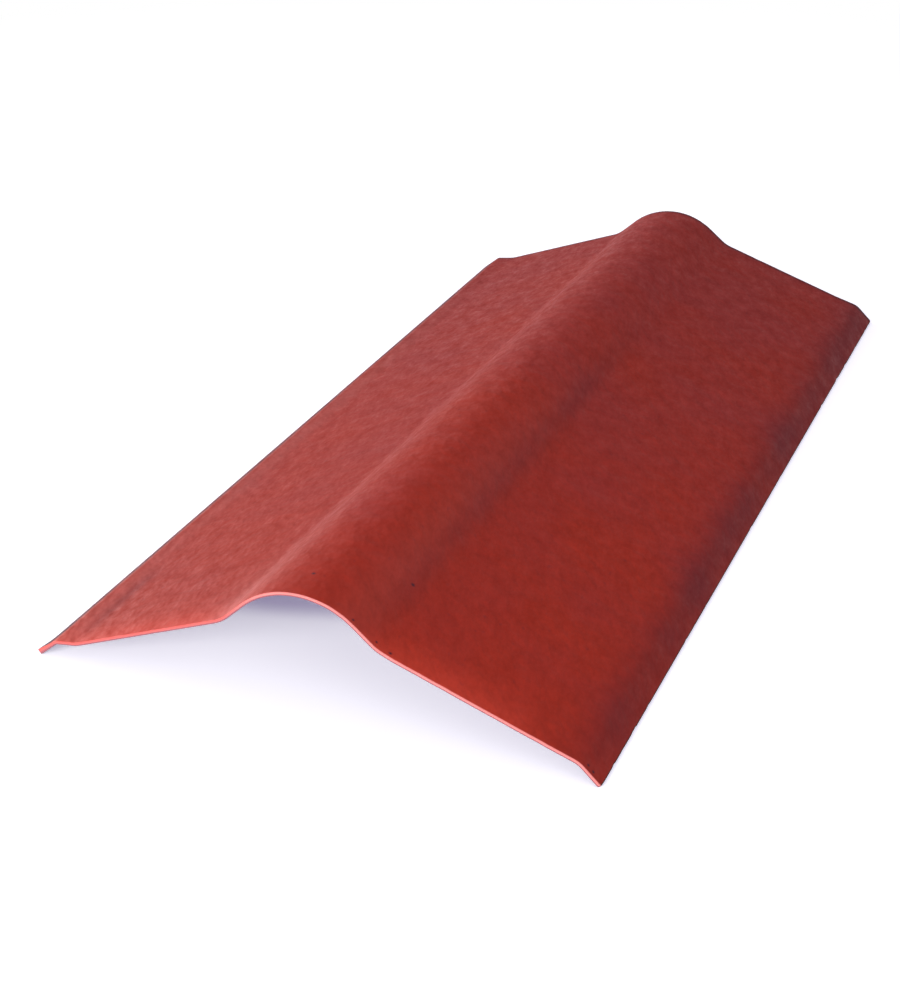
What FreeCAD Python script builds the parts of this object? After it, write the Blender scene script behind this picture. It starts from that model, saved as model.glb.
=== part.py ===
import FreeCAD, Part

import os
from math import cos, radians, sin

from FreeCAD import Vector

# Roof ridge cap of bitumen-fibre sheet, made in one piece.
# A round roll runs along the ridge between two flat wings. Near its outer edge each wing
# eases out to a flatter rim, and the rim turns down into a lip that sheds water.
# The cap stands on its two lips. Y runs along the ridge, X across it and Z up. The origin
# is on the floor, under the middle of the cap.
# Radii are to the middle of the sheet. Angles are degrees below level, on the way down
# from the roll's crest to the lip.

# Driving dimensions in millimetres and degrees
length = 1000.0
overall_width = 485.0
sheet_thickness = 3.0

roll_radius = 70.5
flank_angle = 41.4
flank_length = 19.5
valley_radius = 36.5
wing_angle = 20.0

rim_hollow_radius = 35.0
rim_angle = 12.5
rim_width = 18.5
rim_bend_radius = 10.0
lip_angle = 44.0
lip_length = 19.0
edge_rounding = 0.8

# A rounding keeps a flat between the two corners of the sheet's edge.
widest_rounding_share = 0.4
# Points nearer than this count as one.
same_place = 0.01


def tip_rounding():
    """Radius on the lip's two corners, kept within the sheet."""
    return min(edge_rounding, widest_rounding_share * sheet_thickness)


def tip_reach(angle):
    """How far the lip's rounded end reaches past the end of its middle line, in the
    direction that lies this many degrees from the lip's own."""
    rounding = tip_rounding()
    aside = (sheet_thickness / 2 - rounding) * sin(radians(angle))
    back = rounding * cos(radians(angle))
    return aside - back + rounding


def level_reach():
    """How far a lip reaches outwards past the end of its middle line."""
    return tip_reach(lip_angle)


def floor_reach():
    """How far a lip reaches down past the end of its middle line, to the floor."""
    return tip_reach(90 - lip_angle)


def wing_length():
    """Length of the wing's flat, which takes up what the bends leave of half the width."""
    flank, wing = radians(flank_angle), radians(wing_angle)
    rim, lip = radians(rim_angle), radians(lip_angle)
    others = (
        roll_radius * sin(flank)
        + flank_length * cos(flank)
        + valley_radius * (sin(flank) - sin(wing))
        + rim_hollow_radius * (sin(wing) - sin(rim))
        + rim_width * cos(rim)
        + rim_bend_radius * (sin(lip) - sin(rim))
        + lip_length * cos(lip)
        + level_reach()
    )
    return (overall_width / 2 - others) / cos(wing)


class SheetLine:
    """Draws one face of the sheet while it walks across the middle of the section."""

    def __init__(self, offset):
        """offset is the drawn face's height over the middle of the sheet."""
        self.middle = Vector(0, 0, 0)
        self.heading = lip_angle
        self.offset = offset
        self.edges = []

    def beside(self, middle, heading):
        """The point of the drawn face that lies over a point of the middle line."""
        upright = radians(heading + 90)
        return middle + Vector(cos(upright), 0, sin(upright)) * self.offset

    def straight(self, run):
        """Goes straight on for a run."""
        start = self.beside(self.middle, self.heading)
        ahead = radians(self.heading)
        self.middle += Vector(cos(ahead), 0, sin(ahead)) * run
        end = self.beside(self.middle, self.heading)
        self.edges.append(Part.LineSegment(start, end).toShape())

    def bend(self, radius, turn):
        """Turns by some degrees, upwards if turn is positive, round an arc of a radius."""
        towards = 90 if turn > 0 else -90
        inwards = radians(self.heading + towards)
        centre = self.middle + Vector(cos(inwards), 0, sin(inwards)) * radius
        points = []
        for share in (0, 0.5, 1):
            heading = self.heading + turn * share
            outwards = radians(heading - towards)
            middle = centre + Vector(cos(outwards), 0, sin(outwards)) * radius
            points.append(self.beside(middle, heading))
        self.edges.append(Part.Arc(*points).toShape())
        self.middle = middle
        self.heading += turn


def walk_across(line):
    """Takes a line from the left lip over the roll to the right lip."""
    to_roll = [
        (line.straight, lip_length),
        (line.bend, rim_bend_radius, rim_angle - lip_angle),
        (line.straight, rim_width),
        (line.bend, rim_hollow_radius, wing_angle - rim_angle),
        (line.straight, wing_length()),
        (line.bend, valley_radius, flank_angle - wing_angle),
        (line.straight, flank_length),
    ]
    over_roll = [(line.bend, roll_radius, -2 * flank_angle)]
    for step, *sizes in to_roll + over_roll + to_roll[::-1]:
        step(*sizes)
    return line


def section():
    """The sheet's closed section at the near end, standing on the floor, with square lips."""
    top = walk_across(SheetLine(sheet_thickness / 2))
    bottom = walk_across(SheetLine(-sheet_thickness / 2))
    left_end = Part.LineSegment(
        bottom.edges[0].Vertexes[0].Point, top.edges[0].Vertexes[0].Point
    ).toShape()
    right_end = Part.LineSegment(
        top.edges[-1].Vertexes[-1].Point, bottom.edges[-1].Vertexes[-1].Point
    ).toShape()
    outline = [left_end, *top.edges, right_end, *bottom.edges[::-1]]
    face = Part.Face(Part.Wire(outline))
    # The walk began at the left lip's end, so the cap is centred and lifted here.
    face.translate(Vector(-top.middle.x / 2, -length / 2, floor_reach()))
    return face


def lip_corners(sheet):
    """The long edges, two at each lip's end, that lie half a sheet from its middle line."""
    lip_end = overall_width / 2 - level_reach()
    corners = []
    for side in (-1, 1):
        tip = Vector(side * lip_end, 0, floor_reach())
        for edge in sheet.Edges:
            apart = edge.CenterOfMass.distanceToPoint(tip)
            if abs(apart - sheet_thickness / 2) < same_place:
                corners.append(edge)
    return corners


def ridge_cap():
    """The whole sheet: the section carried along the ridge, with its lip corners eased."""
    sheet = section().extrude(Vector(0, length, 0))
    return sheet.makeFillet(tip_rounding(), lip_corners(sheet)).Solids[0]


os.makedirs("parts", exist_ok=True)
cap = ridge_cap()
cap.exportStep("parts/ridge_cap.step")
box = cap.BoundBox
print("size", round(box.XLength, 3), round(box.YLength, 3), round(box.ZLength, 3))
print("lowest", round(box.ZMin, 4), "volume cm3", round(cap.Volume / 1000, 2))
print("wing flat", round(wing_length(), 2), "valid", cap.isValid(), cap.ShapeType)
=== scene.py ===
import bpy
import numpy as np
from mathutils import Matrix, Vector


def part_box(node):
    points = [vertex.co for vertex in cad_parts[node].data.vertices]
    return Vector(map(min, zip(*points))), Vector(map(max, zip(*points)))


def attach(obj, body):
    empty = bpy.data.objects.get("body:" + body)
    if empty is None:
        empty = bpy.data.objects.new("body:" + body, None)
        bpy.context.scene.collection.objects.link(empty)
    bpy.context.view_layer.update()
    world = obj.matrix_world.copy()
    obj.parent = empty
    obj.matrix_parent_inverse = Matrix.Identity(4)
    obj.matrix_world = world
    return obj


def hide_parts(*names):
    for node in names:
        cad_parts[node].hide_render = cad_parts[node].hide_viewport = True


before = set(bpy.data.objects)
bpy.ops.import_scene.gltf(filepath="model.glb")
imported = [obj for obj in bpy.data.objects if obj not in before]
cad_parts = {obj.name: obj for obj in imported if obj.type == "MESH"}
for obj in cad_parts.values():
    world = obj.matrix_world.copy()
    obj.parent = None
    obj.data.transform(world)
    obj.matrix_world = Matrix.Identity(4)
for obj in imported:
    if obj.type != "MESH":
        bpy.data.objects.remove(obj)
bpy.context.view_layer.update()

# A roof ridge cap of pressed bitumen fibre, coated red, lying on a pale studio floor.
# Lengths are millimetres and angles degrees until they reach Blender, which gets metres.
# X runs across the ridge, Y along it and Z up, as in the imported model.
mm = 0.001


def toLinear(code, alpha=1.0):
    # sRGB hex to linear: c / 12.92 when dark, else ((c + 0.055) / 1.055) to the power 2.4.
    channels = np.array([int(code[k:k + 2], 16) for k in (0, 2, 4)]) / 255
    linear = np.where(channels <= 0.04045, channels / 12.92, ((channels + 0.055) / 1.055) ** 2.4)
    return (*linear.tolist(), alpha)


def addNode(tree, kind, settings=None, links=None):
    # Settings go to the node's sockets where it has one of that name, else to the node itself.
    node = tree.nodes.new(kind)
    for name, value in (settings or {}).items():
        if isinstance(name, int) or name in node.inputs:
            node.inputs[name].default_value = value
        else:
            setattr(node, name, value)
    for name, source in (links or {}).items():
        tree.links.new(source, node.inputs[name])
    return node


def newMaterial(name):
    material = bpy.data.materials.new(name)
    material.use_nodes = True
    material.node_tree.nodes.clear()
    return material, material.node_tree


# The sheet: its section, how the real one is out of true, its wear, and its mesh
sheet = {
    "thickness": 3.0,
    "edgeRadius": 0.7,  # worn corners of the cut edges
    # as the solid has it: millimetres, and degrees below level
    "solid": {
        "flats": {"lip": 19.0, "rim": 18.5, "flank": 19.5},
        "radii": {"rimBend": 10.0, "hollow": 35.0, "valley": 36.5, "roll": 70.5},
        "angles": {"lip": 44.0, "rim": 12.5, "wing": 20.0, "flank": 41.4},
    },
    # as the photo shows it: from the lip to the flank on each side, angles at both ends
    "left": {"flats": (20.5, 13.9, 19.5), "radii": (6.7, 32.6, 36.5),
             "near": (39.0, 7.0, 20.8, 42.3), "far": (38.0, 6.2, 18.7, 40.7)},
    "right": {"flats": (19.5, 21.6, 19.5), "radii": (20.0, 37.7, 36.5),
              "near": (45.0, 19.7, 20.4, 41.6), "far": (44.8, 17.7, 20.0, 40.5)},
    "nearShift": -0.2,  # the near end lies this far to the side of the far one
    "cornerRadius": 3.0,  # the four corners, seen from above
    "frayed": (0.9, 15.0),  # the near left corner is puffed up: how much, and how far
    # the uneven mat: height and wavelength of each layer, from a long swell to its tufts; a layer
    # sums waves, each its wavelength times a draw within the spread, and fades towards the edges
    "relief": {
        "layers": [(0.2, 300.0), (0.12, 40.0), (0.06, 18.0)],
        "waves": 20, "spread": (0.7, 1.5),
        "lipFade": 45.0, "cutFade": 15.0,
    },
    # dents in each edge: depth, width and mean spacing
    "dents": {
        "left": (0.3, 3.0, 50.0), "right": (0.35, 2.2, 26.0),
        "near": (0.2, 4.0, 24.0), "far": (0.3, 5.0, 30.0),
        "deepest": 2.0, "widths": (0.5, 1.6),  # times that depth and width
        "fewest": 2, "fade": 7.0,  # and how far one reaches inwards
    },
    # the mesh: columns on each flat and bend, and the step of the rows along the ridge
    "mesh": {
        "columns": {"lip": 7, "rimBend": 5, "rim": 4, "hollow": 3,
                    "wing": 25, "valley": 7, "flank": 5, "roll": 27},
        "rowStep": 3.1,
        "rounding": (0, 0.12, 0.45, 1.0),  # extra rows and columns, as shares of the edge's radius
        "cornerRow": 0.6,  # one more row, as a share of the corner's radius
    },
    "seed": 11,
}


def wingFlat(halfWidth):
    # What the other flats and bends leave of half the width, laid down at the wing's angle.
    flats, radii, angles = sheet["solid"]["flats"], sheet["solid"]["radii"], sheet["solid"]["angles"]
    lip, rim, wing, flank = np.radians([angles[name] for name in ("lip", "rim", "wing", "flank")])
    others = (
        radii["roll"] * np.sin(flank) + flats["flank"] * np.cos(flank)
        + radii["valley"] * (np.sin(flank) - np.sin(wing))
        + radii["hollow"] * (np.sin(wing) - np.sin(rim)) + flats["rim"] * np.cos(rim)
        + radii["rimBend"] * (np.sin(lip) - np.sin(rim)) + flats["lip"] * np.cos(lip)
        + sheet["thickness"] / 2 * np.sin(lip)
    )
    return (halfWidth - others) / np.cos(wing)


def ripple(across, along, wavelength, seed):
    # Sum of plane waves near one wavelength, in seeded directions and phases, about 1 high.
    waves, spread = sheet["relief"]["waves"], sheet["relief"]["spread"]
    draw = np.random.default_rng(seed)
    heading = draw.uniform(0, 2 * np.pi, waves)
    pace = 2 * np.pi / (wavelength * draw.uniform(*spread, waves))
    phase = draw.uniform(0, 2 * np.pi, waves)
    travel = across[..., None] * np.cos(heading) + along[..., None] * np.sin(heading)
    return np.cos(travel * pace + phase).sum(-1) * np.sqrt(2 / waves)


def matRelief(distance, along, width, length, seed):
    # Sum of the layers' ripples, times 1 - exp(-gap / fade) towards the lips and the cuts.
    relief = sheet["relief"]
    raised = np.zeros_like(distance)
    for layer, (height, wavelength) in enumerate(relief["layers"]):
        raised += height * ripple(distance, along, wavelength, seed + layer)
    raised *= 1 - np.exp(-np.minimum(distance, width - distance) / relief["lipFade"])
    raised *= 1 - np.exp(-np.minimum(along, length - along) / relief["cutFade"])
    return raised


def dentsAlong(place, side, seed):
    # Sum of bells exp(-((place - centre) / width) squared). A bell's depth goes with the
    # square of a seeded draw, so most are shallow and a few are deep.
    dents = sheet["dents"]
    depth, width, spacing = dents[side]
    draw = np.random.default_rng(seed)
    count = max(dents["fewest"], int(np.ptp(place) / spacing))
    centres = draw.uniform(place.min(), place.max(), count)
    depths = depth * draw.uniform(0, 1, count) ** 2 * dents["deepest"]
    widths = width * draw.uniform(*dents["widths"], count)
    return (depths * np.exp(-(((place[:, None] - centres) / widths) ** 2))).sum(1)


def rowPlaces(length):
    # Even rows along the ridge, with close ones in the rounding of each cut end.
    grid, corner = sheet["mesh"], sheet["cornerRadius"]
    rounding = np.append(sheet["edgeRadius"] * np.array(grid["rounding"]), corner * grid["cornerRow"])
    inner = np.linspace(corner, length - corner, int(length / grid["rowStep"]))
    return np.concatenate([rounding, inner, length - rounding[::-1]])


def columnPlaces():
    # Which stretch of the section each column lies in, and how far along it, from 0 to 1.
    grid = sheet["mesh"]
    half = ("lip", "rimBend", "rim", "hollow", "wing", "valley", "flank")
    names = [*half, "roll", *half[::-1]]
    counts = np.array([grid["columns"][name] for name in names])
    stretch = np.repeat(np.arange(len(names)), counts)
    share = np.concatenate([np.arange(count) / count for count in counts])
    # Close columns in the rounding of each lip. On the left the first takes the old one's place.
    steps = np.array(grid["rounding"]) * sheet["edgeRadius"]
    extra = len(steps)
    stretch = np.concatenate([np.zeros(extra - 1, int), stretch, np.full(extra, len(names) - 1)])
    leftRounding = steps / sheet["left"]["flats"][0]
    rightRounding = steps / sheet["right"]["flats"][0]
    share = np.concatenate([leftRounding, share[1:], 1 - rightRounding[::-1]])
    return stretch, share


def layOut(rows, length, halfWidth):
    # The heading keeps a flat's angle along the flat and turns evenly round a bend. A point is
    # the running sum of short steps in that heading, turned so both lips are level.
    share = (rows / length)[:, None]
    left, right = sheet["left"], sheet["right"]
    near = np.concatenate([left["near"], -np.array(right["near"])[::-1]])
    far = np.concatenate([left["far"], -np.array(right["far"])[::-1]])
    flatAngles = np.radians(near * (1 - share) + far * share)
    wing = wingFlat(halfWidth)
    leftFlats, rightFlats = (np.insert(side["flats"], 2, wing) for side in (left, right))
    flatLengths = np.concatenate([leftFlats, rightFlats[::-1]])
    bendRadii = np.array([*left["radii"], sheet["solid"]["radii"]["roll"], *right["radii"][::-1]])
    lengths = np.zeros((len(rows), len(flatLengths) + len(bendRadii)))
    lengths[:, 0::2] = flatLengths
    lengths[:, 1::2] = bendRadii * np.abs(np.diff(flatAngles, axis=1))

    knots = np.concatenate([np.zeros((len(rows), 1)), np.cumsum(lengths, axis=1)], axis=1)
    knotAngles = np.repeat(flatAngles, 2, axis=1)
    stretch, part = columnPlaces()
    distance = knots[:, stretch] + part * lengths[:, stretch]
    heading = knotAngles[:, stretch] + part * (knotAngles[:, stretch + 1] - knotAngles[:, stretch])
    step = np.diff(distance, axis=1)
    between = (heading[:, 1:] + heading[:, :-1]) / 2
    start = np.zeros((len(rows), 1))
    x = np.concatenate([start, np.cumsum(step * np.cos(between), axis=1)], axis=1)
    z = np.concatenate([start, np.cumsum(step * np.sin(between), axis=1)], axis=1)
    lean = np.arctan2(z[:, -1:], x[:, -1:])
    level = x * np.cos(lean) + z * np.sin(lean)
    height = z * np.cos(lean) - x * np.sin(lean)
    across = level - level[:, -1:] / 2 + sheet["nearShift"] * (1 - share)
    return distance, heading - lean, across, height


def roundCorners(across, along, width, length):
    # A square block at each corner becomes a quarter disc: (u, v) goes to
    # (u * sqrt(1 - v * v / 2), v * sqrt(1 - u * u / 2)), with u and v 1 at the edges.
    radius = sheet["cornerRadius"]
    u = np.clip(1 - np.minimum(across, width - across) / radius, 0, 1)
    v = np.clip(1 - np.minimum(along, length - along) / radius, 0, 1)
    inwards = radius * u * (1 - np.sqrt(1 - v * v / 2))
    endwards = radius * v * (1 - np.sqrt(1 - u * u / 2))
    return np.where(across < width / 2, inwards, -inwards), np.where(along < length / 2, endwards, -endwards)


def wearEdges(distance, along, width, length, seed):
    # How far a point slides across and along: the rounded corners, plus each edge's dents
    # times exp(-gap / fade).
    fade = sheet["dents"]["fade"]
    slide, pull = roundCorners(distance, along, width, length)
    rows, columns = along[:, 0], distance[0]
    slide += dentsAlong(rows, "left", seed)[:, None] * np.exp(-distance / fade)
    slide -= dentsAlong(rows, "right", seed + 1)[:, None] * np.exp(-(width - distance) / fade)
    pull += dentsAlong(columns, "near", seed + 2) * np.exp(-along / fade)
    pull -= dentsAlong(columns, "far", seed + 3) * np.exp(-(length - along) / fade)
    return slide, pull


def halfThickness(edgeGap):
    # Near an edge the half thickness drops as a quarter circle of the edge's radius.
    radius = sheet["edgeRadius"]
    inset = np.clip(1 - edgeGap / radius, 0, 1)
    return sheet["thickness"] / 2 - radius + radius * np.sqrt(1 - inset**2)


def shellFaces(index, ring):
    # The top's squares, the same turned over for the bottom, and two bands that join both to
    # the waist, which follows the ring of edge points. Each face has its kind: the material's place.
    count = index.size
    top = np.stack([index[:-1, :-1], index[:-1, 1:], index[1:, 1:], index[1:, :-1]], -1).reshape(-1, 4)
    bottom = top[:, ::-1] + count
    after = np.roll(ring, -1)
    waist = 2 * count + np.arange(len(ring))
    waistAfter = np.roll(waist, -1)
    upper = np.stack([ring, waist, waistAfter, after], -1)
    lower = np.stack([waist, ring + count, after + count, waistAfter], -1)
    coatKind, cutKind, underKind = 0, 1, 2
    kinds = np.repeat([coatKind, underKind, cutKind, cutKind], [len(top), len(bottom), len(ring), len(ring)])
    return np.concatenate([top, bottom, upper, lower]), kinds


def sheetMesh():
    # Point = middle line + normal * (relief +- half thickness) + tangent * edge wear.
    low, high = (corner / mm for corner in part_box("ridge_cap"))
    length, halfWidth = high.y - low.y, (high.x - low.x) / 2
    rows = rowPlaces(length)
    distance, heading, x, z = layOut(rows, length, halfWidth)
    width = distance[:, -1:]
    along = np.broadcast_to(rows[:, None], distance.shape)
    edgeGap = np.minimum(np.minimum(distance, width - distance), np.minimum(along, length - along))

    # Each edge has dents of its own draw, and each layer of the relief has one too.
    dentSeed = sheet["seed"] + 1
    reliefSeed = sheet["seed"] + 5
    slide, pull = wearEdges(distance, along, width, length, dentSeed)
    puff, reach = sheet["frayed"]
    frayed = puff * np.exp(-(distance**2 + along**2) / reach**2)
    raised = matRelief(distance, along, width, length, reliefSeed) + frayed
    half = halfThickness(edgeGap) + frayed

    middle = np.stack([x + slide * np.cos(heading), low.y + along + pull, z + slide * np.sin(heading)], -1)
    normal = np.stack([-np.sin(heading), np.zeros_like(x), np.cos(heading)], -1)
    top = (middle + normal * (raised + half)[..., None]).reshape(-1, 3)
    bottom = (middle + normal * (raised - half)[..., None]).reshape(-1, 3)
    # The ring of edge points, from the near left corner, counter-clockwise seen from above
    index = np.arange(x.size).reshape(x.shape)
    ring = np.concatenate([index[0, :-1], index[:-1, -1], index[-1, :0:-1], index[:0:-1, 0]])
    points = np.concatenate([top, bottom, (top[ring] + bottom[ring]) / 2])
    points[:, 2] -= points[:, 2].min()
    faces, kinds = shellFaces(index, ring)

    place = np.stack([distance, along], -1).reshape(-1, 2)
    place = np.concatenate([place, place, place[ring]]) * mm
    notes = {
        "through": np.repeat([0.0, 1.0, 0.5], [x.size, x.size, len(ring)]),  # 0 at the top, 1 below
        "edgeGap": np.concatenate([edgeGap.ravel(), edgeGap.ravel(), np.zeros(len(ring))]),
    }
    for kind in ("paintedLightStrip", "paintedSheen", "grimeAndShade"):
        shown = coatMark(kind, distance, along).ravel()
        notes[kind] = np.concatenate([shown, shown, shown[ring]])
    return points * mm, faces, kinds, place, notes


def makeSheet(materials):
    points, faces, kinds, place, notes = sheetMesh()
    mesh = bpy.data.meshes.new("ridgeCapSheet")
    mesh.from_pydata(points.tolist(), [], faces.tolist())
    mesh.polygons.foreach_set("material_index", kinds.astype(np.int32))
    mesh.polygons.foreach_set("use_smooth", np.ones(len(faces), bool))
    uv = mesh.uv_layers.new(name="sheetPlace")
    uv.data.foreach_set("uv", place[faces.ravel()].ravel())
    for name, values in notes.items():
        mesh.attributes.new(name, "FLOAT", "POINT").data.foreach_set("value", values)
    for material in materials:
        mesh.materials.append(material)
    mesh.update()
    piece = bpy.data.objects.new("cap_sheet", mesh)
    bpy.context.scene.collection.objects.link(piece)
    print("sheet:", len(points), "points,", 2 * len(faces), "triangles")
    return piece


# Acrylic coating sprayed on pressed fibre: matt, and as uneven as the fibre mat under it
coat = {
    "nearRed": "99271a", "farRed": "8b2927",  # a duller, bluer red towards the far end: painted shade, where the light falls off
    "paintedLightRed": "c03a2a",  # painted light: a brighter red beside the near cut, where more light falls
    "sheenPink": "e69c98",  # painted sheen and highlights, a pale pink
    # the tone of the dark marks: painted shade with dirt on the right lip, and the darker lines and patches
    "grimeAndShadeTone": "421d2a",
    "roughness": 0.6, "ior": 1.4,
    "gloss": 0.125,  # a quarter of the usual, because the open mat swallows most of it
    # the mat's pattern is drawn out along the sheet and lies a little aslant, in degrees
    "grainStretch": 1.6, "grainTurn": 18.0,
    # slow clouds: how far they move the fade, shade the red, and thin or thicken the dark marks
    "cloudSize": 110.0, "cloudDetail": 2.0,
    "cloudDepth": 0.36, "cloudShade": 0.03, "grimeAndShadeSwing": (0.73, 1.27),
    # the mat's blotches, down to tufts: how strong they are at the near and far end, how much
    # smoother the full ones are, which greys them as in the photo, and how much brighter
    "mottleSize": 15.0, "mottleDetail": 3.0, "mottleGrit": 0.85,
    "mottleDepth": (0.65, 1.0), "mottleSmooth": 0.185, "mottleInRed": 0.16,
    # stray dark fibres, drawn twice their real size to show: the noise's rare peaks
    "speckSize": 6.0, "speckDetail": 1.0, "speckPeaks": (0.68, 0.78), "speckDepth": 0.18,
    # tufts of the mat, drawn coarser than the real ones to show: the height is that of the
    # noise's whole range, and they use a fifth of it
    "tuftSize": 8.0, "tuftDetail": 1.0, "tuftHeight": 0.95,
    "spotCore": 0.2,  # share of a bitumen spot's radius that is quite dark
}

# Nearly all of a noise texture's values lie in this range, which is drawn out before use.
noiseRange = {"From Min": 0.3, "From Max": 0.7}

# Marks in the coat, in mm: across from the left lip and along from the near end.
# A mark is reach wide each way, runs from one place to another and is soft at both ends.
beforeNear, pastFar = -200, 1200
coatMarks = [
    # painted light: the bright strip beside the near cut, left and right of the roll
    {"kind": "paintedLightStrip", "across": 110, "reach": 115, "power": 4,
     "from": -50, "to": 14, "soft": 11, "depth": 1.0},
    {"kind": "paintedLightStrip", "across": 400, "reach": 72, "power": 4,
     "from": -50, "to": 14, "soft": 11, "depth": 1.0},
    # painted sheen on the pale left wing, a painted highlight streak up the roll's left flank, painted sheen
    # along the left rim's bend and a faint one on the right flank
    {"kind": "paintedSheen", "across": 110, "reach": 115, "power": 4,
     "from": beforeNear, "to": 70, "soft": 50, "depth": 0.02},
    {"kind": "paintedSheen", "across": 198, "reach": 24, "power": 2,
     "from": beforeNear, "to": 60, "soft": 35, "depth": 0.22},
    {"kind": "paintedSheen", "across": 32, "reach": 10, "power": 2,
     "from": beforeNear, "to": 750, "soft": 90, "depth": 0.12},
    {"kind": "paintedSheen", "across": 315, "reach": 20, "power": 2,
     "from": beforeNear, "to": 420, "soft": 60, "depth": 0.035},
    # darker along the right flank's valley, in the left rim's fold and at the near tip of its lip
    {"kind": "grimeAndShade", "across": 328, "reach": 11, "power": 2,
     "from": 60, "to": 640, "soft": 40, "depth": 0.22},
    {"kind": "grimeAndShade", "across": 41, "reach": 6, "power": 2,
     "from": 20, "to": 125, "soft": 9, "depth": 0.3},
    {"kind": "grimeAndShade", "across": 6, "reach": 9, "power": 4,
     "from": beforeNear, "to": 40, "soft": 20, "depth": 0.6},
    # painted shade, with dirt patches, on the right lip, which is turned away from the main lamps; darker all
    # along the left lip, and a dark line beside the far cut
    {"kind": "grimeAndShade", "across": 521, "reach": 23, "power": 2,
     "from": 10, "to": pastFar, "soft": 20, "depth": 0.42},
    {"kind": "grimeAndShade", "across": 8, "reach": 11, "power": 6,
     "from": beforeNear, "to": pastFar, "soft": 20, "depth": 0.65},
    {"kind": "grimeAndShade", "across": 262, "reach": 400, "power": 4,
     "from": 995, "to": pastFar, "soft": 1.2, "depth": 0.75},
]
# Dark spots of bitumen that came through the coat: across, along and radius in mm
bitumenSpots = [
    (330, 88, 2.8), (265, 34, 2.3), (314, 5, 1.6), (338, 6, 1.6), (352, 5, 2.0), (520, 6, 2.0), (526, 5, 2.2),
]


def coatMark(kind, across, along):
    # Sum of marks: bell exp(-|offset / reach| ** power) across, times a ramp up and a ramp
    # down along, each (1 + tanh(offset / (2 * soft))) / 2.
    shown = np.zeros_like(across)
    for mark in coatMarks:
        if mark["kind"] == kind:
            bell = np.exp(-np.abs((across - mark["across"]) / mark["reach"]) ** mark["power"])
            rise = (1 + np.tanh((along - mark["from"]) / (2 * mark["soft"]))) / 2
            fall = (1 + np.tanh((mark["to"] - along) / (2 * mark["soft"]))) / 2
            shown += mark["depth"] * bell * rise * fall
    return shown


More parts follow.
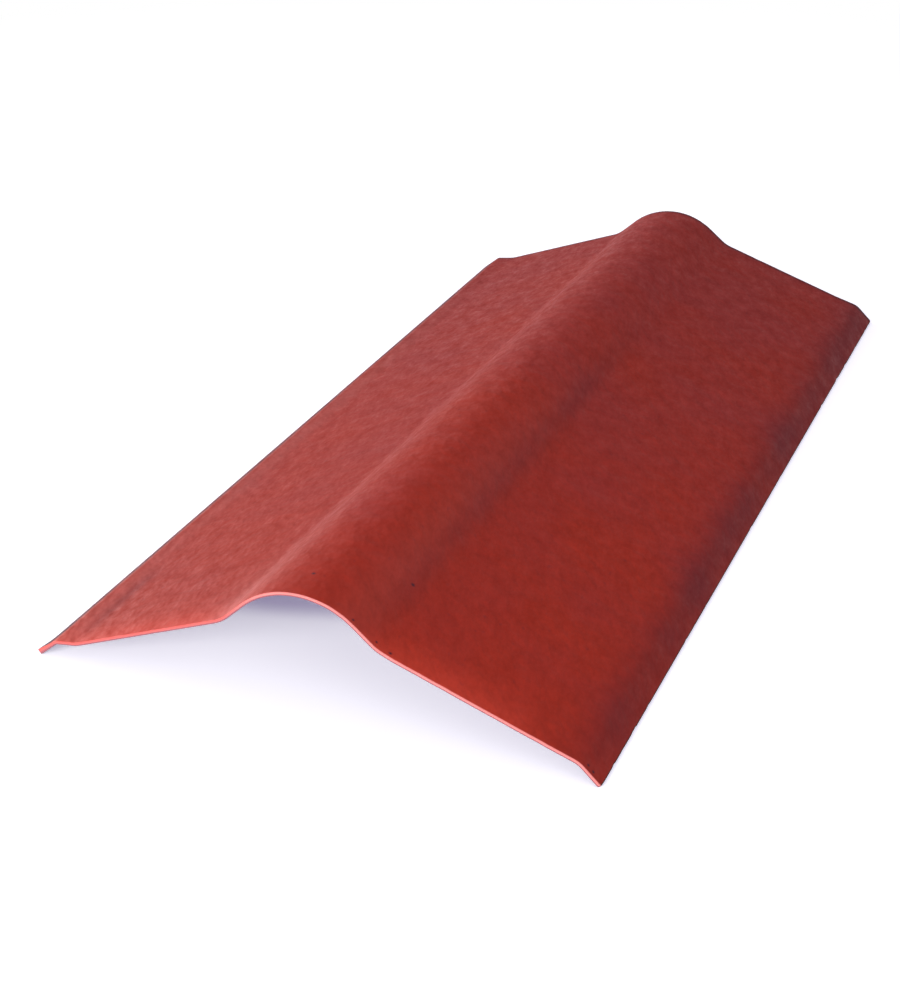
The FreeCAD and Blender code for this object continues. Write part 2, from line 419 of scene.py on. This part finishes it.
def makeCoat():
    material, tree = newMaterial("sprayedCoatOnFibre")
    place = addNode(tree, "ShaderNodeUVMap", {"uv_map": "sheetPlace"}).outputs["UV"]
    along = addNode(tree, "ShaderNodeSeparateXYZ", None, {0: place}).outputs["Y"]
    grain = addNode(tree, "ShaderNodeMapping",
                    {"vector_type": "TEXTURE", "Rotation": (0, 0, np.radians(coat["grainTurn"])),
                     "Scale": (1, coat["grainStretch"], 1)}, {"Vector": place}).outputs[0]

    # The red turns darker and bluer with the way along, give or take the clouds: painted shade, as the light
    # falls off towards the far end.
    clouds = addNode(tree, "ShaderNodeTexNoise",
                     {"Scale": 1 / (coat["cloudSize"] * mm), "Detail": coat["cloudDetail"]},
                     {"Vector": place}).outputs["Fac"]
    drift = addNode(tree, "ShaderNodeMapRange",
                    {**noiseRange, "To Min": -coat["cloudDepth"], "To Max": coat["cloudDepth"]},
                    {"Value": clouds})
    fading = addNode(tree, "ShaderNodeMath", {"operation": "ADD", "use_clamp": True},
                     {0: along, 1: drift.outputs[0]})
    colour = addNode(tree, "ShaderNodeMix", {"data_type": "RGBA", 6: toLinear(coat["nearRed"]),
                                             7: toLinear(coat["farRed"])}, {0: fading.outputs[0]}).outputs[2]
    # Painted light beside the near cut, then painted sheen and highlights, each where its mark lies.
    for kind, tone in (("paintedLightStrip", coat["paintedLightRed"]), ("paintedSheen", coat["sheenPink"])):
        mark = addNode(tree, "ShaderNodeAttribute", {"attribute_name": kind})
        colour = addNode(tree, "ShaderNodeMix", {"data_type": "RGBA", 7: toLinear(tone)},
                         {0: mark.outputs["Fac"], 6: colour}).outputs[2]

    # The mottle swings from -1 to 1 before its depth, which grows with the way along.
    mottle = addNode(tree, "ShaderNodeTexNoise",
                     {"Scale": 1 / (coat["mottleSize"] * mm),
                      "Detail": coat["mottleDetail"], "Roughness": coat["mottleGrit"]},
                     {"Vector": grain}).outputs["Fac"]
    nearDepth, farDepth = coat["mottleDepth"]
    depth = addNode(tree, "ShaderNodeMapRange", {"To Min": nearDepth, "To Max": farDepth}, {"Value": along})
    swing = addNode(tree, "ShaderNodeMapRange", {**noiseRange, "To Min": -1.0, "To Max": 1.0},
                    {"Value": mottle})
    swing = addNode(tree, "ShaderNodeMath", {"operation": "MULTIPLY"},
                    {0: swing.outputs[0], 1: depth.outputs[0]})
    cloudy = addNode(tree, "ShaderNodeMapRange", {**noiseRange, "To Min": 1 - coat["cloudShade"],
                                                  "To Max": 1 + coat["cloudShade"]}, {"Value": clouds})
    shade = addNode(tree, "ShaderNodeMath", {"operation": "MULTIPLY_ADD", 1: coat["mottleInRed"]},
                    {0: swing.outputs[0], 2: cloudy.outputs[0]})
    colour = addNode(tree, "ShaderNodeVectorMath", {"operation": "SCALE"},
                     {0: colour, "Scale": shade.outputs[0]}).outputs[0]

    # The dark marks, painted shade with dirt on the right lip among them, vary as the clouds do. The darkest
    # of these marks, specks and spots shows.
    least, most = coat["grimeAndShadeSwing"]
    patchy = addNode(tree, "ShaderNodeMapRange", {**noiseRange, "To Min": least, "To Max": most},
                     {"Value": clouds})
    grimeAndShade = addNode(tree, "ShaderNodeAttribute", {"attribute_name": "grimeAndShade"})
    grimeAndShade = addNode(tree, "ShaderNodeMath", {"operation": "MULTIPLY"},
                    {0: grimeAndShade.outputs["Fac"], 1: patchy.outputs[0]})
    specks = addNode(tree, "ShaderNodeTexNoise",
                     {"Scale": 1 / (coat["speckSize"] * mm), "Detail": coat["speckDetail"]},
                     {"Vector": grain})
    low, high = coat["speckPeaks"]
    specks = addNode(tree, "ShaderNodeMapRange",
                     {"From Min": low, "From Max": high, "To Max": coat["speckDepth"]},
                     {"Value": specks.outputs["Fac"]})
    dirtAndShade = addNode(tree, "ShaderNodeMath", {"operation": "MAXIMUM"},
                   {0: grimeAndShade.outputs[0], 1: specks.outputs[0]})
    for across, spotAlong, radius in bitumenSpots:
        away = addNode(tree, "ShaderNodeVectorMath",
                       {"operation": "DISTANCE", 1: (across * mm, spotAlong * mm, 0)}, {0: place})
        spot = addNode(tree, "ShaderNodeMapRange",
                       {"From Min": radius * mm, "From Max": coat["spotCore"] * radius * mm},
                       {"Value": away.outputs["Value"]})
        dirtAndShade = addNode(tree, "ShaderNodeMath", {"operation": "MAXIMUM"},
                       {0: dirtAndShade.outputs[0], 1: spot.outputs[0]})
    colour = addNode(tree, "ShaderNodeMix", {"data_type": "RGBA", 7: toLinear(coat["grimeAndShadeTone"])},
                     {0: dirtAndShade.outputs[0], 6: colour}).outputs[2]

    colour = wearAndHighlightEdges(tree, place, colour)
    tufts = addNode(tree, "ShaderNodeTexNoise",
                    {"Scale": 1 / (coat["tuftSize"] * mm), "Detail": coat["tuftDetail"]},
                    {"Vector": grain})
    bump = addNode(tree, "ShaderNodeBump", {"Strength": 1.0, "Distance": coat["tuftHeight"] * mm},
                   {"Height": tufts.outputs["Fac"]})
    rough = addNode(tree, "ShaderNodeMath",
                    {"operation": "MULTIPLY_ADD", 1: -coat["mottleSmooth"], 2: coat["roughness"]},
                    {0: swing.outputs[0]})
    coating = addNode(tree, "ShaderNodeBsdfPrincipled",
                      {"IOR": coat["ior"], "Specular IOR Level": coat["gloss"]},
                      {"Base Color": colour, "Roughness": rough.outputs[0], "Normal": bump.outputs[0]})
    addNode(tree, "ShaderNodeOutputMaterial", None, {"Surface": coating.outputs[0]})
    return material


# Sawn fibre board, dry and rough, so its line has no shine. The near cut caught the red spray: its bright
# coral top is a painted highlight, where the rounded edge catches the light, and the mauve below it painted
# shade. The other edges are bare, and outline the cap.
cut = {
    "coralLeft": "cd5a56", "coralRight": "d67976", "mauve": "94525a", "bare": "30231f",
    "coralTurn": (190.0, 240.0),  # mm across: the coral is paler from here to the right
    "mauveFrom": 0.35, "mauveTo": 0.75,  # shares of the thickness, from the top
    "roughness": 0.8, "ior": 1.5,
    "wearAndHighlight": 1.1, "wearAndHighlightFull": 0.66,  # mm from the edge that take the edge's colour, and fully: rubbed bare on most edges, the near cut's painted highlight and shade at the near end
}


def edgeColour(tree, place):
    # Within the band at the near end, the coral painted highlight above and the mauve painted shade below;
    # bare fibre elsewhere.
    ways = addNode(tree, "ShaderNodeSeparateXYZ", None, {0: place})
    first, last = cut["coralTurn"]
    side = addNode(tree, "ShaderNodeMapRange", {"From Min": first * mm, "From Max": last * mm},
                   {"Value": ways.outputs["X"]})
    coral = addNode(tree, "ShaderNodeMix", {"data_type": "RGBA", 6: toLinear(cut["coralLeft"]),
                                            7: toLinear(cut["coralRight"])}, {0: side.outputs[0]})
    through = addNode(tree, "ShaderNodeAttribute", {"attribute_name": "through"})
    lower = addNode(tree, "ShaderNodeMapRange", {"From Min": cut["mauveFrom"], "From Max": cut["mauveTo"]},
                    {"Value": through.outputs["Fac"]})
    nearCut = addNode(tree, "ShaderNodeMix", {"data_type": "RGBA", 7: toLinear(cut["mauve"])},
                      {0: lower.outputs[0], 6: coral.outputs[2]})
    atNear = addNode(tree, "ShaderNodeMath", {"operation": "LESS_THAN", 1: cut["wearAndHighlight"] * mm},
                     {0: ways.outputs["Y"]})
    return addNode(tree, "ShaderNodeMix", {"data_type": "RGBA", 6: toLinear(cut["bare"])},
                   {0: atNear.outputs[0], 7: nearCut.outputs[2]}).outputs[2]


def wearAndHighlightEdges(tree, place, colour):
    # The surface's colour gives way to the edge's within the band: rubbed bare fibre on most edges, and the
    # near cut's painted highlight and shade at the near end.
    gap = addNode(tree, "ShaderNodeAttribute", {"attribute_name": "edgeGap"})
    edgeShare = addNode(tree, "ShaderNodeMapRange",
                     {"From Min": cut["wearAndHighlightFull"], "From Max": cut["wearAndHighlight"], "To Min": 1.0, "To Max": 0.0},
                     {"Value": gap.outputs["Fac"]})
    return addNode(tree, "ShaderNodeMix", {"data_type": "RGBA"},
                   {0: edgeShare.outputs[0], 6: colour, 7: edgeColour(tree, place)}).outputs[2]


def makeCut():
    material, tree = newMaterial("sawnFibreEdge")
    place = addNode(tree, "ShaderNodeUVMap", {"uv_map": "sheetPlace"}).outputs["UV"]
    fibre = addNode(tree, "ShaderNodeBsdfPrincipled", {"Roughness": cut["roughness"], "IOR": cut["ior"]},
                    {"Base Color": edgeColour(tree, place)})
    addNode(tree, "ShaderNodeOutputMaterial", None, {"Surface": fibre.outputs[0]})
    return material


# The underside: pressed pulp soaked with bitumen, dull and dark brown, with stray spray at its rim
bare = {
    "bitumen": "2e2624", "fibre": "5c4a42", "pulpSize": 8.0, "pulpDetail": 4.0, "pulpGrit": 0.8,
    # the spray reaches in by this many mm times the pulp noise, less the next, and ends softly
    "sprayReach": 24.0, "sprayShort": 7.2, "spraySoft": 12.0, "sprayDepth": 0.7,
    "roughness": 0.75, "ior": 1.5, "bumpHeight": 1.2,
}


def makeUnderside():
    material, tree = newMaterial("bareBitumenFibre")
    place = addNode(tree, "ShaderNodeUVMap", {"uv_map": "sheetPlace"}).outputs["UV"]
    pulp = addNode(tree, "ShaderNodeTexNoise",
                   {"Scale": 1 / (bare["pulpSize"] * mm),
                    "Detail": bare["pulpDetail"], "Roughness": bare["pulpGrit"]},
                   {"Vector": place}).outputs["Fac"]
    share = addNode(tree, "ShaderNodeMapRange", noiseRange, {"Value": pulp})
    colour = addNode(tree, "ShaderNodeMix", {"data_type": "RGBA", 6: toLinear(bare["bitumen"]),
                                             7: toLinear(bare["fibre"])}, {0: share.outputs[0]}).outputs[2]
    gap = addNode(tree, "ShaderNodeAttribute", {"attribute_name": "edgeGap"})
    reach = addNode(tree, "ShaderNodeMath",
                    {"operation": "MULTIPLY_ADD", 1: bare["sprayReach"], 2: -bare["sprayShort"]}, {0: pulp})
    within = addNode(tree, "ShaderNodeMath", {"operation": "SUBTRACT"},
                     {0: reach.outputs[0], 1: gap.outputs["Fac"]})
    sprayed = addNode(tree, "ShaderNodeMapRange",
                      {"From Max": bare["spraySoft"], "To Max": bare["sprayDepth"]},
                      {"Value": within.outputs[0]})
    colour = addNode(tree, "ShaderNodeMix", {"data_type": "RGBA", 7: toLinear(coat["farRed"])},
                     {0: sprayed.outputs[0], 6: colour}).outputs[2]
    colour = wearAndHighlightEdges(tree, place, colour)
    bump = addNode(tree, "ShaderNodeBump", {"Strength": 1.0, "Distance": bare["bumpHeight"] * mm},
                   {"Height": pulp})
    fibre = addNode(tree, "ShaderNodeBsdfPrincipled", {"Roughness": bare["roughness"], "IOR": bare["ior"]},
                    {"Base Color": colour, "Normal": bump.outputs[0]})
    addNode(tree, "ShaderNodeOutputMaterial", None, {"Surface": fibre.outputs[0]})
    return material


# The stage: a pale floor, and a world of the same white where the camera sees it
stage = {
    "floorSide": 24.0, "white": "ffffff", "floorTone": "e7e7e7",
    "shadowLift": "b1adbf",  # added for the camera only, so shadows stay pale and cool
    # deep under the cap, within these half sides in metres, the shadow is darker and bluer; the
    # light comes from one side, so its ends run aslant
    "deepLift": "7c7397", "deepHalf": (0.225, 0.336), "deepSlant": 0.33,
    "deepFrom": 1.1, "deepTo": 0.9,  # its soft border, where 1 is the edge of that block
    "clearFrom": 0.9, "clearTo": 2.2,  # metres from the cap where the floor turns plain white
    "worldTone": "fdfdff", "worldLight": 0.56,
}


def floorMaterial():
    material, tree = newMaterial("paleStudioFloor")
    seen = addNode(tree, "ShaderNodeLightPath").outputs["Is Camera Ray"]
    matt = addNode(tree, "ShaderNodeBsdfDiffuse", {"Color": toLinear(stage["floorTone"])})
    place = addNode(tree, "ShaderNodeTexCoord").outputs["Object"]
    # The length of (u * u, v * v) is 1 round a block with soft corners: u is x, and v is y less
    # the slant's share of x, each over its half side.
    halfAcross, halfAlong = stage["deepHalf"]
    u = addNode(tree, "ShaderNodeVectorMath", {"operation": "DOT_PRODUCT", 1: (1 / halfAcross, 0, 0)},
                {0: place})
    v = addNode(tree, "ShaderNodeVectorMath",
                {"operation": "DOT_PRODUCT", 1: (-stage["deepSlant"] / halfAlong, 1 / halfAlong, 0)},
                {0: place})
    share = addNode(tree, "ShaderNodeCombineXYZ", None, {"X": u.outputs["Value"], "Y": v.outputs["Value"]})
    squared = addNode(tree, "ShaderNodeVectorMath", {"operation": "MULTIPLY"},
                      {0: share.outputs[0], 1: share.outputs[0]})
    block = addNode(tree, "ShaderNodeVectorMath", {"operation": "LENGTH"}, {0: squared.outputs[0]})
    deep = addNode(tree, "ShaderNodeMapRange",
                   {"interpolation_type": "SMOOTHSTEP",
                    "From Min": stage["deepFrom"], "From Max": stage["deepTo"]},
                   {"Value": block.outputs["Value"]})
    tone = addNode(tree, "ShaderNodeMix",
                   {"data_type": "RGBA", 6: toLinear(stage["shadowLift"]), 7: toLinear(stage["deepLift"])},
                   {0: deep.outputs[0]})
    lift = addNode(tree, "ShaderNodeEmission", None, {"Color": tone.outputs[2], "Strength": seen})
    lit = addNode(tree, "ShaderNodeAddShader", None, {0: matt.outputs[0], 1: lift.outputs[0]})
    # Away from the cap the camera sees plain white.
    away = addNode(tree, "ShaderNodeVectorMath", {"operation": "LENGTH"}, {0: place})
    clear = addNode(tree, "ShaderNodeMapRange",
                    {"interpolation_type": "SMOOTHSTEP",
                     "From Min": stage["clearFrom"], "From Max": stage["clearTo"]},
                    {"Value": away.outputs["Value"]})
    clear = addNode(tree, "ShaderNodeMath", {"operation": "MULTIPLY"}, {0: clear.outputs[0], 1: seen})
    plain = addNode(tree, "ShaderNodeEmission", {"Color": toLinear(stage["white"]), "Strength": 1.0})
    mixed = addNode(tree, "ShaderNodeMixShader", None,
                    {0: clear.outputs[0], 1: lit.outputs[0], 2: plain.outputs[0]})
    # From underneath the floor lets the camera through, so the cap's underside can be seen.
    turned = addNode(tree, "ShaderNodeNewGeometry").outputs["Backfacing"]
    below = addNode(tree, "ShaderNodeMath", {"operation": "MULTIPLY"}, {0: turned, 1: seen})
    pane = addNode(tree, "ShaderNodeBsdfTransparent")
    whole = addNode(tree, "ShaderNodeMixShader", None,
                    {0: below.outputs[0], 1: mixed.outputs[0], 2: pane.outputs[0]})
    addNode(tree, "ShaderNodeOutputMaterial", None, {"Surface": whole.outputs[0]})
    return material


def makeFloor():
    side = stage["floorSide"] / 2
    corners = [(-side, -side, 0), (side, -side, 0), (side, side, 0), (-side, side, 0)]
    mesh = bpy.data.meshes.new("floor")
    mesh.from_pydata(corners, [], [(0, 1, 2, 3)])
    mesh.materials.append(floorMaterial())
    floor = bpy.data.objects.new("floor", mesh)
    bpy.context.scene.collection.objects.link(floor)


def makeWorld():
    world = bpy.data.worlds.new("studioWorld")
    world.use_nodes = True
    tree = world.node_tree
    tree.nodes.clear()
    seen = addNode(tree, "ShaderNodeLightPath").outputs["Is Camera Ray"]
    soft = addNode(tree, "ShaderNodeBackground",
                   {"Color": toLinear(stage["worldTone"]), "Strength": stage["worldLight"]})
    white = addNode(tree, "ShaderNodeBackground", {"Color": toLinear(stage["white"]), "Strength": 1.0})
    both = addNode(tree, "ShaderNodeMixShader", None, {0: seen, 1: soft.outputs[0], 2: white.outputs[0]})
    addNode(tree, "ShaderNodeOutputWorld", None, {"Surface": both.outputs[0]})
    bpy.context.scene.world = world


# Lamps round the cap. Each has its bearing, clockwise from straight in front, and its height,
# both in degrees, its width in metres and its power in watts.
lampTarget = (0, 0, 0.05)  # metres
lampRange = 3.0  # metres from there
lamps = {
    "lowFront": {"bearing": 14, "height": 13, "width": 1.4, "power": 84.0},
    "lowLeft": {"bearing": 108, "height": 13, "width": 1.4, "power": 54.0},
    "rightFill": {"bearing": -42, "height": 35, "width": 1.6, "power": 15.0},
    "backLeft": {"bearing": 145, "height": 20, "width": 1.6, "power": 4.5},
    "backRight": {"bearing": -140, "height": 13, "width": 1.4, "power": 3.0},
}


def makeLamps():
    for name, lamp in lamps.items():
        bearing, height = np.radians(lamp["bearing"]), np.radians(lamp["height"])
        data = bpy.data.lights.new(name, "AREA")
        data.shape = "DISK"
        data.size, data.energy = lamp["width"], lamp["power"]
        light = bpy.data.objects.new(name, data)
        back = Vector((-np.sin(bearing) * np.cos(height), -np.cos(bearing) * np.cos(height), np.sin(height)))
        light.location = Vector(lampTarget) + lampRange * back
        light.rotation_euler = (-back).to_track_quat("-Z", "Y").to_euler()
        light.visible_camera = False
        bpy.context.scene.collection.objects.link(light)


# The camera, in metres, with its lens and sensor in mm. The sensor is the long side of the 900
# by 1000 picture.
camera = {
    "at": (0.5624, -1.5585, 0.8001), "to": (-0.0001, -0.2040, 0.0500),
    "lens": 66.25, "sensor": 36.0, "clip": (0.05, 60.0),
}


def makeCamera():
    data = bpy.data.cameras.new("camera")
    data.sensor_width, data.lens = camera["sensor"], camera["lens"]
    data.clip_start, data.clip_end = camera["clip"]
    eye = bpy.data.objects.new("camera", data)
    eye.location = camera["at"]
    eye.rotation_euler = (Vector(camera["to"]) - eye.location).to_track_quat("-Z", "Y").to_euler()
    bpy.context.scene.collection.objects.link(eye)
    bpy.context.scene.camera = eye


makeCamera()
makeWorld()
makeLamps()
makeFloor()
print("stage: floor, world, lamps and camera")

capSheet = makeSheet([makeCoat(), makeCut(), makeUnderside()])
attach(capSheet, "root")
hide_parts("ridge_cap")
bpy.context.scene.view_settings.view_transform = "Standard"
print("cap: one sheet in place of the solid")
